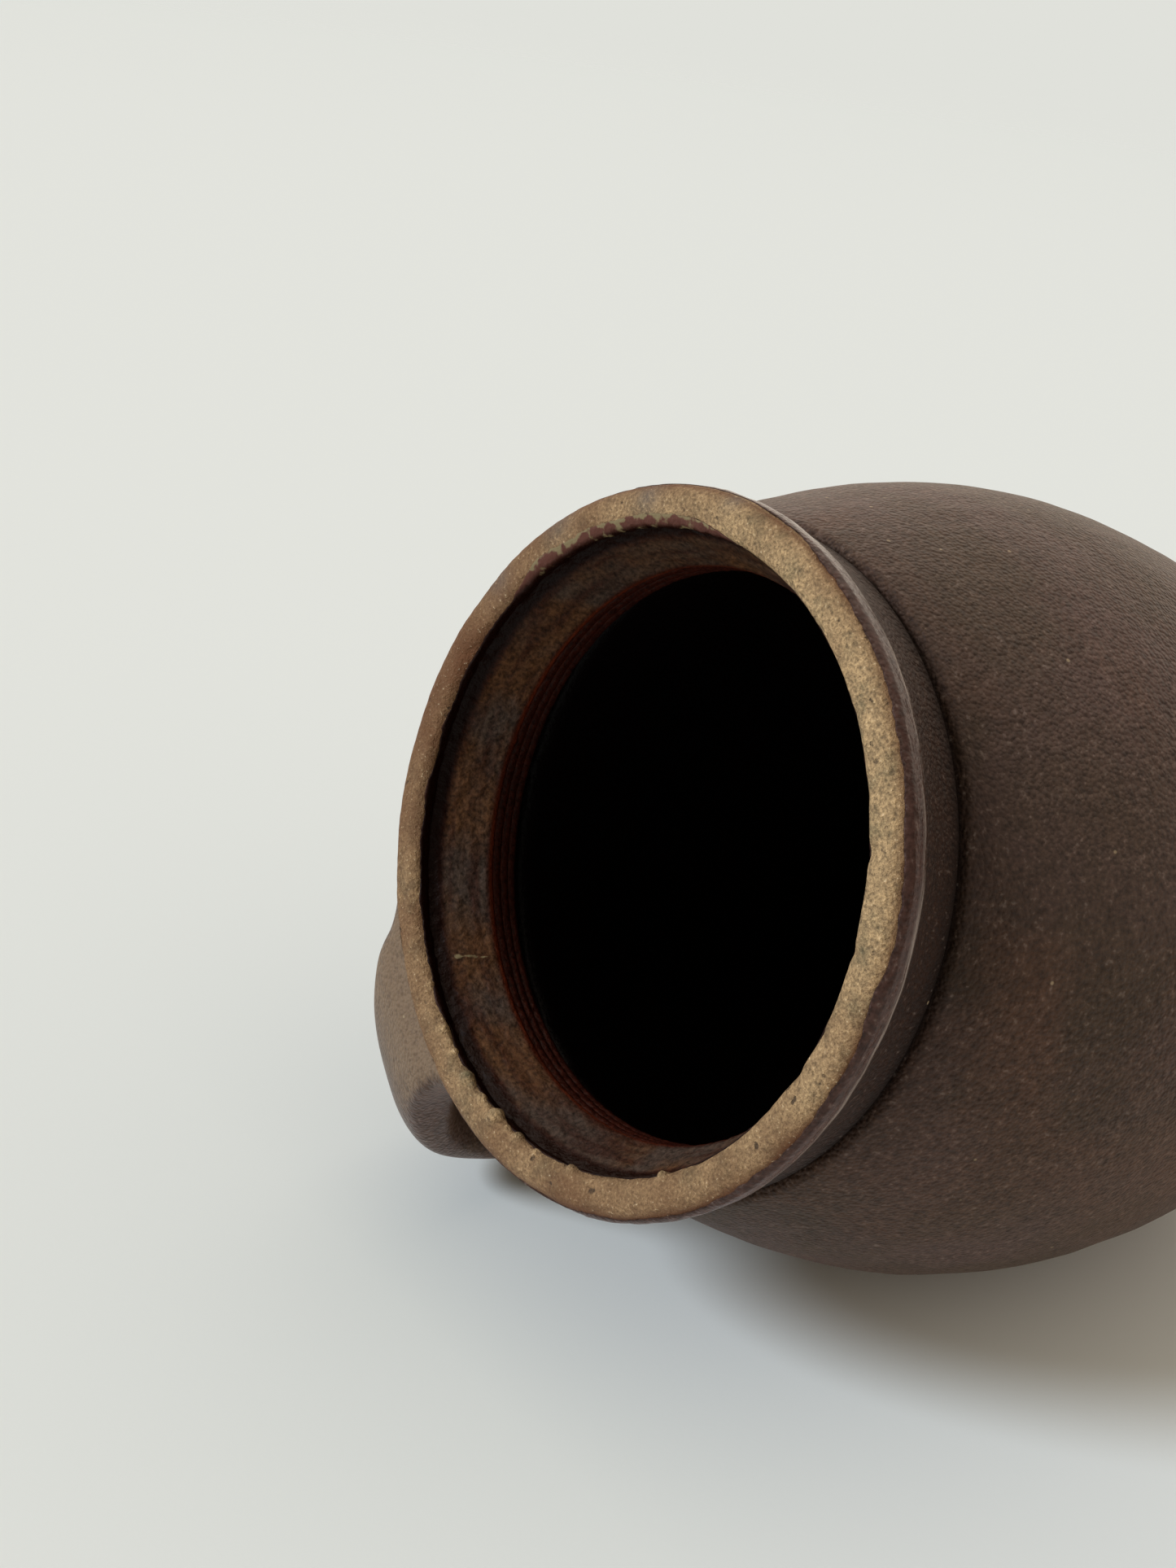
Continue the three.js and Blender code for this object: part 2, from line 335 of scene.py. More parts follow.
def wander(angle, along, pitch, seed, waves=26):
    """A smooth random field of about unit size: the sum of waves of random direction and phase,
    near the pitch in length, with a whole number of them round the jar at a radius of 50 mm."""
    rng = np.random.default_rng(seed)
    radius = 0.05
    total = 0
    for _ in range(waves):
        bearing, phase = rng.uniform(0, 2 * math.pi, 2)
        wave = 2 * math.pi / (pitch * rng.uniform(0.7, 1.5))
        round_count = np.round(wave * math.cos(bearing) * radius)
        total = total + np.cos(round_count * angle + wave * math.sin(bearing) * along + phase)
    return total * math.sqrt(2 / waves)


def swells(angle, along, *fields):
    """A sum of wandering fields, each given by its height and pitch in millimetres and its seed."""
    return sum(height * MM * wander(angle, along, pitch * MM, seed) for height, pitch, seed in fields)


def hump(value, centre, width):
    """One at the centre and less beside it: e to the minus squared distance over squared width."""
    return np.exp(-((value - centre) / width) ** 2)


def turn_between(angle, other):
    """The turn from one angle to another, the short way round."""
    return (angle - other + math.pi) % (2 * math.pi) - math.pi


def dabs(angle, along, spots, radius):
    """A sum of soft round spots, each a hump of the distance over the surface from its own angle
    and place along the line, as wide as its size and as high as its strength."""
    total = 0
    for spot_angle, place, size, strength in spots:
        distance = np.hypot(turn_between(angle, spot_angle) * radius, along - place)
        total = total + strength * hump(distance, 0, size)
    return total


def scattered(seed, count, place, spread, size, strength):
    """Random spots for dabs: an angle, a place near the given one, and a size and a strength in
    their ranges."""
    rng = np.random.default_rng(seed)
    return np.column_stack([
        rng.uniform(-math.pi, math.pi, count),
        rng.normal(place, spread, count),
        rng.uniform(*size, count),
        rng.uniform(*strength, count),
    ])


def smooth_step(low, high, value):
    """Nought below low, one above high, and the usual 3t squared less 2t cubed between them."""
    t = np.clip((value - low) / (high - low), 0, 1)
    return t * t * (3 - 2 * t)


def turn_angles(turns):
    """Even angles round the jar as one row."""
    return np.linspace(-math.pi, math.pi, turns, endpoint=False)[None]


def revolved(flat, angle):
    """Points of a line turned round the axis: radius times cosine and sine of the angle, and height."""
    radius, height = flat[..., 0], flat[..., 1]
    return np.stack([radius * np.cos(angle), radius * np.sin(angle), height + 0 * angle], axis=-1)


def ring_faces(rows, columns, close_rows=False):
    """The quads of a grid whose columns run round in a ring, facing right of the way the rows run.
    close_rows joins the last row to the first."""
    row = np.arange(rows if close_rows else rows - 1)[:, None]
    column = np.arange(columns)[None]
    after, beside = (row + 1) % rows, (column + 1) % columns
    here, there = row * columns, after * columns
    quad = [here + column, here + beside, there + beside, there + column]
    return np.stack(quad, axis=-1).reshape(-1, 4).tolist()


def pole_faces(rows, columns, pole, first):
    """The triangles that close one end of such a grid onto a pole."""
    column = np.arange(columns)
    beside = (column + 1) % columns
    offset = 0 if first else (rows - 1) * columns
    ends = [column, beside] if not first else [beside, column]
    return np.column_stack([offset + ends[0], offset + ends[1], np.full(columns, pole)]).tolist()


def finished(name, points, faces, material, node, fields=None):
    """Puts a worked-out surface into the scene as one piece, with its named values at each point,
    in place of its node."""
    mesh = bpy.data.meshes.new(name)
    mesh.from_pydata(points.reshape(-1, 3).tolist(), [], faces)
    for field, values in (fields or {}).items():
        layer = mesh.attributes.new(field, "FLOAT", "POINT")
        layer.data.foreach_set("value", np.ascontiguousarray(values, np.float32).ravel())
    mesh.shade_smooth()
    mesh.materials.append(material)
    piece = bpy.data.objects.new(name, mesh)
    bpy.context.scene.collection.objects.link(piece)
    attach(piece, "root")
    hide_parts(node)


def add(tree, kind, inputs=None, **settings):
    """Adds a node, sets its own settings, and fills its inputs: a socket is linked, a node is linked
    by its first output in use, and anything else is a value."""
    made = tree.nodes.new(kind)
    for setting, value in settings.items():
        setattr(made, setting, value)
    for key, value in (inputs or {}).items():
        if isinstance(value, bpy.types.Node):
            value = next(socket for socket in value.outputs if socket.enabled)
        if isinstance(value, bpy.types.NodeSocket):
            tree.links.new(value, made.inputs[key])
        else:
            made.inputs[key].default_value = value
    return made


def emptied_tree(owner):
    """The node tree of a material or a world, with nothing in it."""
    owner.use_nodes = True
    owner.node_tree.nodes.clear()
    return owner.node_tree


def per_mm(pitch):
    """The texture scale whose features repeat at a pitch in millimetres."""
    return 1 / (pitch * MM)


# Socket numbers of the colour version of the Mix node
MIX_A, MIX_B = 6, 7


def clay_material(finish):
    """Fired stoneware without glaze: matt, sandy and open, because the grog stands proud of the
    clay. It shows as a lively grain with pale grit and painted glints, iron specks, olive patches,
    browner beside the glaze, where the kiln toasted it, and painted shade round the handle's side."""
    material = bpy.data.materials.new("bare_stoneware")
    tree = emptied_tree(material)
    place = add(tree, "ShaderNodeTexCoord").outputs["Object"]
    noise = {name: add(tree, "ShaderNodeTexNoise", {
        "Vector": place, "Scale": per_mm(pitch), "Detail": detail, "Roughness": roughness,
    }) for name, pitch, detail, roughness in (
        ("patches", 5, 5, 0.62), ("grain", 0.5, 3, 0.65), ("sand", 1.6, 4, 0.5), ("pits", 2.4, 5, 0.5),
    )}
    amount = {name: add(tree, "ShaderNodeMapRange", {
        "Value": noise[source], "From Min": low, "From Max": high, "To Min": least, "To Max": most,
    }) for name, source, low, high, least, most in (
        ("clean", "patches", 0.3, 0.5, 0, 1),
        ("grain", "grain", 0.3, 0.7, 0.4, 1.55),
        ("sand", "sand", 0.3, 0.7, 0.68, 1.25),
        # Pale grit and painted glints: the brightest grains are painted pale as if they caught the light
        ("grit", "grain", 0.64, 0.72, 0, 0.6),
        ("specks", "pits", 0.67, 0.71, 0, 0.75),
    )}
    toast_and_side_shade = add(tree, "ShaderNodeAttribute", attribute_name="toast_and_side_shade").outputs["Fac"]
    stain = add(tree, "ShaderNodeAttribute", attribute_name="stain").outputs["Fac"]
    blot = add(tree, "ShaderNodeMath", {0: stain, 1: amount["sand"]}, operation="MULTIPLY", use_clamp=True)
    coarse = add(tree, "ShaderNodeMath", {0: amount["grain"], 1: amount["sand"]}, operation="MULTIPLY")
    ground = add(tree, "ShaderNodeMix", {
        "Factor": amount["clean"], MIX_A: finish.clay_shade, MIX_B: finish.clay,
    }, data_type="RGBA")
    tone = add(tree, "ShaderNodeVectorMath", {0: ground, "Scale": coarse}, operation="SCALE")
    for share, paint in (
        (toast_and_side_shade, finish.clay_toast_and_side_shade), (blot, finish.clay_stain),
        (amount["grit"], finish.clay_grit_and_glints), (amount["specks"], finish.clay_speck),
    ):
        tone = add(tree, "ShaderNodeMix", {"Factor": share, MIX_A: tone, MIX_B: paint}, data_type="RGBA")
    bump = add(tree, "ShaderNodeBump", {"Height": coarse, "Distance": 0.25 * MM, "Strength": 0.9})
    pit_bump = add(tree, "ShaderNodeBump", {
        "Height": amount["specks"], "Distance": 0.25 * MM, "Strength": 0.8, "Normal": bump,
    }, invert=True)
    shader = add(tree, "ShaderNodeBsdfPrincipled", {
        "Base Color": tone, "Roughness": 0.75, "IOR": 1.45, "Specular IOR Level": 0.35, "Normal": pit_bump,
    })
    add(tree, "ShaderNodeOutputMaterial", {"Surface": shader})
    return material


def brown_glaze_material(finish):
    """A thin brown glaze fired onto stoneware: satin, pulled into a fine orange-peel grain, and
    clouded in purple, olive and warm browns where it lies thicker or thinner, with pale flecks that
    are partly painted glints. On the collar it is smoother, ran off the ridge, which shows pale with a
    painted highlight, and pooled dark in the groove, with painted shade there and on the shoulder
    below. Handling has rubbed it thin on the handle and chipped it here and there to the pale clay."""
    material = bpy.data.materials.new("brown_stoneware_glaze")
    tree = emptied_tree(material)
    place = add(tree, "ShaderNodeTexCoord").outputs["Object"]
    flat = add(tree, "ShaderNodeVectorMath", {0: place, 1: (0.07, 0.07, 1)}, operation="MULTIPLY")
    texture = {name: add(tree, "ShaderNodeTexNoise", {
        "Vector": where, "Scale": per_mm(pitch), "Detail": detail, "Roughness": roughness,
        "Distortion": distortion,
    }) for name, where, pitch, detail, roughness, distortion in (
        ("clouds", place, 24, 5, 0.6, 0.4), ("warmth", place, 30, 4, 0.5, 0.6),
        ("mottle", place, 2.2, 5, 0.5, 0), ("swells", place, 1.3, 3, 0.5, 0),
        ("grain", place, 0.8, 3, 0.5, 0), ("runs", flat, 0.7, 2, 0.5, 0),
    )}
    cells = add(tree, "ShaderNodeTexVoronoi", {"Vector": place, "Scale": per_mm(0.65)})
    texture["chips"] = add(tree, "ShaderNodeTexVoronoi", {"Vector": place, "Scale": per_mm(6)})
    amount = {name: add(tree, "ShaderNodeMapRange", {
        "Value": texture[source], "From Min": low, "From Max": high, "To Min": least, "To Max": most,
    }) for name, source, low, high, least, most in (
        ("purple", "clouds", 0.38, 0.62, 0, 1),
        ("warm", "warmth", 0.48, 0.7, 0, 1),
        ("mottle", "mottle", 0.3, 0.7, 0.84, 1.16),
        ("grain", "grain", 0.3, 0.7, 0.62, 1.38),
        # Pale flecks, partly painted glints where the peel's bumps would catch the light
        ("flecks_and_glints", "grain", 0.62, 0.74, 0, 0.22),
        ("runs", "runs", 0.42, 0.62, 0.05, 1),
        ("chips", "chips", 0.03, 0.055, 0.65, 0),
    )}
    field = {name: add(tree, "ShaderNodeAttribute", attribute_name=name).outputs["Fac"]
             for name in ("collar", "band", "pool_and_shade", "ridge", "wear", "gloss")}
    cast = add(tree, "ShaderNodeMath", {0: amount["mottle"], 1: amount["grain"]}, operation="MULTIPLY")
    # The ridge's pale line is thin glaze and a painted highlight, broken up by the runs
    thin, worn = [add(tree, "ShaderNodeMath", {0: one, 1: other}, operation="MULTIPLY", use_clamp=True)
                  for one, other in ((field["ridge"], amount["runs"]), (field["wear"], cast))]
    tone = finish.glaze_olive
    for share, paint in (
        (amount["purple"], finish.glaze_purple), (amount["warm"], finish.glaze_warm),
        (field["collar"], finish.glaze_collar), (field["band"], finish.glaze_band),
    ):
        tone = add(tree, "ShaderNodeMix", {"Factor": share, MIX_A: tone, MIX_B: paint}, data_type="RGBA")
    tone = add(tree, "ShaderNodeVectorMath", {0: tone, "Scale": cast}, operation="SCALE")
    for share, paint in (
        # Pooled glaze with painted shade in the groove and on the shoulder below it
        (field["pool_and_shade"], finish.glaze_pool_and_shade), (amount["flecks_and_glints"], finish.glaze_pale_and_highlight),
        (thin, finish.glaze_pale_and_highlight), (worn, finish.glaze_worn), (amount["chips"], finish.glaze_chip),
    ):
        tone = add(tree, "ShaderNodeMix", {"Factor": share, MIX_A: tone, MIX_B: paint}, data_type="RGBA")
    peel = add(tree, "ShaderNodeMath", {0: texture["swells"], 1: cells}, operation="SUBTRACT")
    peel_strength = add(tree, "ShaderNodeMapRange", {"Value": field["gloss"], "To Min": 0.85, "To Max": 0.2})
    peel_bump = add(tree, "ShaderNodeBump", {
        "Height": peel, "Distance": 0.4 * MM, "Strength": peel_strength,
    })
    run_strength = add(tree, "ShaderNodeMath", {0: field["gloss"], 1: 0.5}, operation="MULTIPLY")
    run_bump = add(tree, "ShaderNodeBump", {
        "Height": texture["runs"], "Distance": 0.25 * MM, "Strength": run_strength, "Normal": peel_bump,
    })
    evenness = add(tree, "ShaderNodeMath", {0: field["gloss"], 1: field["pool_and_shade"]}, operation="SUBTRACT")
    roughness = add(tree, "ShaderNodeMapRange", {
        "Value": evenness, "From Min": -1, "To Min": 0.8, "To Max": 0.27,
    })
    shader = add(tree, "ShaderNodeBsdfPrincipled", {
        "Base Color": tone, "Roughness": roughness, "IOR": 1.5, "Specular IOR Level": 0.15,
        "Normal": run_bump,
    })
    add(tree, "ShaderNodeOutputMaterial", {"Surface": shader})
    return material


def throat_glaze_material(finish):
    """The same glaze inside, richer in iron: glossy and red-brown between the throwing rings, dark
    with painted shade over pooled glaze in the recess, dry, rough and grey-brown on the ledge, where
    a lid rubbed it, and painted near-black as shade inside the belly. The clay shows through where
    the glaze is ragged at the lip."""
    material = bpy.data.materials.new("red_brown_throat_glaze")
    tree = emptied_tree(material)
    place = add(tree, "ShaderNodeTexCoord").outputs["Object"]
    flat = add(tree, "ShaderNodeVectorMath", {0: place, 1: (0.14, 0.14, 1)}, operation="MULTIPLY")
    noise = {name: add(tree, "ShaderNodeTexNoise", {
        "Vector": where, "Scale": per_mm(pitch), "Detail": detail,
    }) for name, where, pitch, detail in (
        ("patches", place, 11, 4), ("mottle", place, 0.7, 4),
        ("streaks", flat, 1.6, 3), ("flakes", place, 2, 4),
    )}
    field = {name: add(tree, "ShaderNodeAttribute", attribute_name=name).outputs["Fac"]
             for name in ("rubbed", "ring", "run", "recess", "bare", "deep_shade")}
    ragged = add(tree, "ShaderNodeMath", {0: field["bare"], 1: noise["flakes"]}, operation="ADD")
    amount = {name: add(tree, "ShaderNodeMapRange", {
        "Value": source, "From Min": low, "From Max": high, "To Min": least, "To Max": most,
    }) for name, source, low, high, least, most in (
        ("grey", noise["patches"], 0.4, 0.6, 0, 1),
        ("mottle", noise["mottle"], 0.3, 0.7, 0.4, 1.6),
        ("streaks", noise["streaks"], 0.35, 0.6, 0.35, 1.1),
        ("flaked", ragged, 0.92, 1, 0, 1),
    )}
    dryness, lines = [add(tree, "ShaderNodeMath", {
        0: field[name], 1: amount["streaks"],
    }, operation="MULTIPLY", use_clamp=True) for name in ("rubbed", "ring")]
    dry = add(tree, "ShaderNodeMix", {
        "Factor": amount["grey"], MIX_A: finish.throat_dull, MIX_B: finish.throat_grey,
    }, data_type="RGBA")
    ground = add(tree, "ShaderNodeMix", {
        "Factor": dryness, MIX_A: finish.throat_red, MIX_B: dry,
    }, data_type="RGBA")
    tone = add(tree, "ShaderNodeVectorMath", {0: ground, "Scale": amount["mottle"]}, operation="SCALE")
    for share, paint in (
        (lines, finish.throat_line), (field["run"], finish.lip_glaze), (field["recess"], finish.recess_pool_and_shade),
        (amount["flaked"], finish.clay_shade), (field["deep_shade"], finish.throat_painted_shade),
    ):
        tone = add(tree, "ShaderNodeMix", {"Factor": share, MIX_A: tone, MIX_B: paint}, data_type="RGBA")
    bump = add(tree, "ShaderNodeBump", {"Height": noise["mottle"], "Distance": 0.35 * MM, "Strength": 0.8})
    roughness = add(tree, "ShaderNodeMapRange", {"Value": dryness, "To Min": 0.45, "To Max": 0.7})
    shader = add(tree, "ShaderNodeBsdfPrincipled", {
        "Base Color": tone, "Roughness": roughness, "IOR": 1.5, "Specular IOR Level": 0.1, "Normal": bump,
    })
    add(tree, "ShaderNodeOutputMaterial", {"Surface": shader})
    return material


def table_material(stage):
    """A matt white-painted board: even, with a faint paper tooth. It thins out far from the jar,
    and its back doesn't show, so that the jar can be seen from every side."""
    material = bpy.data.materials.new("matt_white_table")
    tree = emptied_tree(material)
    place = add(tree, "ShaderNodeTexCoord").outputs["Object"]
    tooth = add(tree, "ShaderNodeTexNoise", {"Vector": place, "Scale": per_mm(0.8), "Detail": 2})
    bump = add(tree, "ShaderNodeBump", {"Height": tooth, "Distance": 0.05 * MM, "Strength": 0.25})
    shader = add(tree, "ShaderNodeBsdfDiffuse", {"Color": stage.table, "Normal": bump})
    away = add(tree, "ShaderNodeVectorMath", {0: place}, operation="LENGTH")
    fade = add(tree, "ShaderNodeMapRange", {
        "Value": away, "From Min": 0.9, "From Max": 4,
    }, interpolation_type="SMOOTHSTEP")
    behind = add(tree, "ShaderNodeNewGeometry").outputs["Backfacing"]
    hidden = add(tree, "ShaderNodeMath", {0: fade, 1: behind}, operation="MAXIMUM")
    clear = add(tree, "ShaderNodeBsdfTransparent")
    surface = add(tree, "ShaderNodeMixShader", {0: hidden, 1: shader, 2: clear})
    add(tree, "ShaderNodeOutputMaterial", {"Surface": surface})
    return material


class JAR_OT_thrown_body(bpy.types.Operator):
    """Makes the thrown clay body: its bare lip with chips, crumbs and stains, and its flat foot"""

    bl_idname = "jar.thrown_body"
    bl_label = "Thrown body"

    def execute(self, context):
        jar, finish = context.scene.jar_body, context.scene.jar_finish
        heel, wall = outer_wall(jar)

        # The clay is a little sunk below and under the outer glaze; the wall's last points are bare
        bare_points = 11
        from_top = np.arange(len(wall), 0, -1)[:, None]
        sunk = 0.35 * MM * np.clip(from_top / 30 - 0.35, 0, 1)
        hidden = rounded((wall - sideways(wall) * sunk)[:-bare_points], 0.4 * MM)
        end = distance_along(hidden)[-1]
        hidden = at_distance(hidden, np.append(
            np.linspace(0, end - 15 * MM, 22), np.linspace(end - 14 * MM, end, 28),
        ))
        rim = rounded(np.vstack([wall[-bare_points - 1:], lip(jar)]), 0.5 * MM)
        rim = at_distance(rim, np.arange(0, distance_along(rim)[-1], 0.2 * MM))

        # The inner glaze hides the rest, which is sunk too
        under = rounded(np.vstack([rim[-1:], inner_wall(jar, wall)]), 0.4 * MM)
        under[:, 0] += 0.45 * MM * smooth_step(0.2 * MM, 2 * MM, distance_along(under))
        end = distance_along(under)[-1]
        under = at_distance(under, np.append(np.arange(0.3, 24, 1) * MM, np.linspace(25 * MM, end, 24)))
        foot = np.column_stack([np.linspace(0.01, jar.foot_radius - jar.heel_round, 4), np.zeros(4)])
        foot = np.vstack([foot, heel[1:]])
        flat = np.vstack([foot, hidden[:-1], rim, under])

        angle = turn_angles(570)
        along = distance_along(flat)
        here = (along - along[len(foot) + len(hidden) - 1])[:, None]
        rim_length = distance_along(rim)[-1]
        inner_edge = rim_length - jar.lip_inner_round
        at_lip = smooth_step(0, 1.5 * MM, here) * (1 - smooth_step(rim_length, rim_length + 1 * MM, here))

        # The inner edge has random bites, one notch, and crumbs, each by its turn and size in mm
        bites = scattered(13, 70, inner_edge, 0.5 * MM, (0.5 * MM, 1.5 * MM), (0.1 * MM, 0.3 * MM))
        notch = (math.radians(-122.1), inner_edge + 0.3 * MM, 0.7 * MM, 0.9 * MM)
        crumbs = [
            (math.radians(turn), inner_edge + 0.9 * MM, size * MM, (0.2 + size) * MM)
            for turn, size in (
                (86, 0.5), (95.6, 0.7), (98.3, 0.4), (101, 0.6), (107.2, 0.9), (109.2, 0.4), (112.8, 0.7),
                (115, 0.45), (118.1, 1.1), (122, 0.5), (125.3, 0.8), (131, 0.45), (141, 0.7), (164, 0.7),
            )
        ]
        missing = dabs(angle, here, [*bites, notch], jar.lip_inner)
        added = dabs(angle, here, crumbs, jar.lip_inner)
        relief = at_lip * (swells(angle, here, (0.04, 14, 11), (0.015, 2, 12)) - missing + added)
        points = revolved(flat[:, None] + sideways(flat)[:, None] * relief[..., None], angle)

        # The kiln toasted the clay beside the glaze, but less on the crumbs, and painted shade darkens it
        # round the handle's side
        outer_edge = distance_along(rim)[np.argmax(rim[:, 1] > jar.lip_top - finish.glaze_lip)]
        toast_and_side_shade = 0.75 * np.exp(-np.abs(here - outer_edge) / (0.9 * MM))
        toast_and_side_shade = toast_and_side_shade + 0.08 * wander(angle, here, 12 * MM, 14) - 0.5 * added / (1.1 * MM)
        # Painted shade: darker round the handle's side of the lip, set turn by turn
        toast_and_side_shade = toast_and_side_shade + np.interp(angle, np.radians([-130, -80, -45, -10, 20, 75, 110, 150, 200]),
                                  [0, 0.03, 0.18, 0.6, 0.85, 0.6, 0.42, 0.56, 0.24], period=2 * math.pi)
        stains = [
            (math.radians(turn), rim_length * across, size * MM, strength)
            for turn, across, size, strength in (
                (-35, 0.62, 2.2, 0.35), (-13, 0.55, 2.6, 0.3), (4, 0.6, 2.4, 0.3), (-54, 0.5, 1.6, 0.3),
            )
        ]
        stain = dabs(angle, here, stains, jar.lip_inner)
        fields = {name: np.append(np.clip(value * at_lip, 0, 1), [0, 0])
                  for name, value in (("toast_and_side_shade", toast_and_side_shade), ("stain", stain))}

        rows, turns = relief.shape
        count = rows * turns
        points = np.vstack([points.reshape(-1, 3), (0, 0, 0), (0, 0, jar.floor)])
        faces = ring_faces(rows, turns)
        faces += pole_faces(rows, turns, count, first=True) + pole_faces(rows, turns, count + 1, first=False)
        finished("thrown_clay", points, faces, clay_material(finish), "clay_body", fields)
        return {"FINISHED"}


def across_line(line, wanted):
    """The way to the right of a line, read at the wanted distances along it."""
    along, right = distance_along(line), sideways(line)
    return np.stack([np.interp(wanted, along, right[:, axis]) for axis in (0, 1)], axis=-1)


def coat(line, low, high, thickness, relief, share, back_share, angle):
    """A skin of glaze on a line of clay, as one closed shell. Its outer face runs from low to high
    along the line at each angle, at the given shares of the way, as thick as the glaze and thinned
    towards its own edges; its back face returns just inside the clay. Returns the points and each
    outer point's distance along the line."""
    thin, sunk, thinning = 0.12 * MM, 0.12 * MM, 1.4 * MM
    place = low + (high - low) * share[:, None]
    edge = smooth_step(0, thinning, np.minimum(place - low, high - place))
    depth = thin + (thickness - thin + relief(place)) * edge
    outer = at_distance(line, place) + across_line(line, place) * depth[..., None]
    back_place = low + (high - low) * back_share[::-1, None]
    back = at_distance(line, back_place) - across_line(line, back_place) * sunk
    return revolved(np.concatenate([outer, back], axis=0), angle), place


class JAR_OT_outer_glaze(bpy.types.Operator):
    """Makes the brown coat outside, from above the foot to its ragged edge under the lip"""

    bl_idname = "jar.outer_glaze"
    bl_label = "Outer glaze"

    def execute(self, context):
        jar, finish = context.scene.jar_body, context.scene.jar_finish
        _, wall = outer_wall(jar)
        line = rounded(np.vstack([wall, lip(jar)[:ARC_STEPS]]), 0.5 * MM)
        along = distance_along(line)
        start = np.interp(finish.glaze_foot, line[:, 1], along)
        side = along[np.argmax(line[:, 1] > jar.lip_top - finish.glaze_lip)]
        groove = np.interp(jar.lip_top - jar.groove_drop, line[:, 1], along)
        ridge = np.interp(jar.lip_top - jar.ridge_drop, line[:, 1], along)

        # The coat stops lower under the strap and, by a dry edge, on the side away from it
        angle = turn_angles(512)
        low = start + swells(angle, 0, (0.5, 22, 21), (0.15, 4, 22))
        under_strap = 1 - smooth_step(math.radians(15), math.radians(19), np.abs(angle - QUARTER))
        far_side = 1 - smooth_step(math.radians(50), math.radians(75), np.abs(angle + math.radians(5)))
        high = side - 2 * MM * under_strap - 0.9 * MM * far_side
        high = high + swells(angle, 0, (0.12, 12, 23), (0.07, 2, 24))

        def relief(place):
            """Thicker and thinner glaze over the turning marks: slow swells round and up the jar,
            and less of it in the groove, whose bottom is cut sharp."""
            swell = np.clip(swells(angle, place, (0.06, 24, 25), (0.03, 7, 26)), -0.3 * MM, 0.3 * MM)
            swell = swell * smooth_step(0, 5 * MM, np.abs(place - groove))
            return swell - 0.36 * MM * hump(place, groove, 0.5 * MM)

        fine = np.arange(groove - 3 * MM, side, 0.3 * MM)
        share = np.concatenate([np.arange(start, fine[0], 1.5 * MM), fine, [side]])
        share = (share - start) / (side - start)
        back_share = np.append(share[:-1:3], 1)
        points, place = coat(line, low, high, finish.glaze, relief, share, back_share, angle)

        # The glaze pooled in the groove; painted shade darkens the groove, wider on the collar's side, and
        # the shoulder below it, most round one side
        shaded_side = ((1 + np.cos(angle + math.radians(130))) / 2) ** 3
        below = 0.65 * shaded_side * np.exp(-np.abs(groove - place) / (11 * MM)) * (place < groove)
        reach = np.where(place > groove, 2.4 * MM, 0.9 * MM)
        shown = {
            "gloss": smooth_step(ridge - 1 * MM, ridge, place) * smooth_step(0, 0.6 * MM, high - place),
            "collar": smooth_step(groove - 1.5 * MM, groove + 1 * MM, place),
            "band": smooth_step(ridge - 0.3 * MM, ridge + 0.5 * MM, place),
            # Painted highlight along the ridge, with the thin pale glaze there
            "ridge": hump(place, ridge, 0.45 * MM),
            "pool_and_shade": np.maximum(hump(place, groove, reach), below),
            "wear": 0 * place,
        }
        rows, turns = points.shape[:2]
        hidden = np.zeros((rows - len(place), turns))
        fields = {name: np.concatenate([values, hidden]) for name, values in shown.items()}
        faces = ring_faces(rows, turns, close_rows=True)
        finished("brown_glaze_coat", points, faces, brown_glaze_material(finish),
                 "outer_glaze", fields)
        return {"FINISHED"}


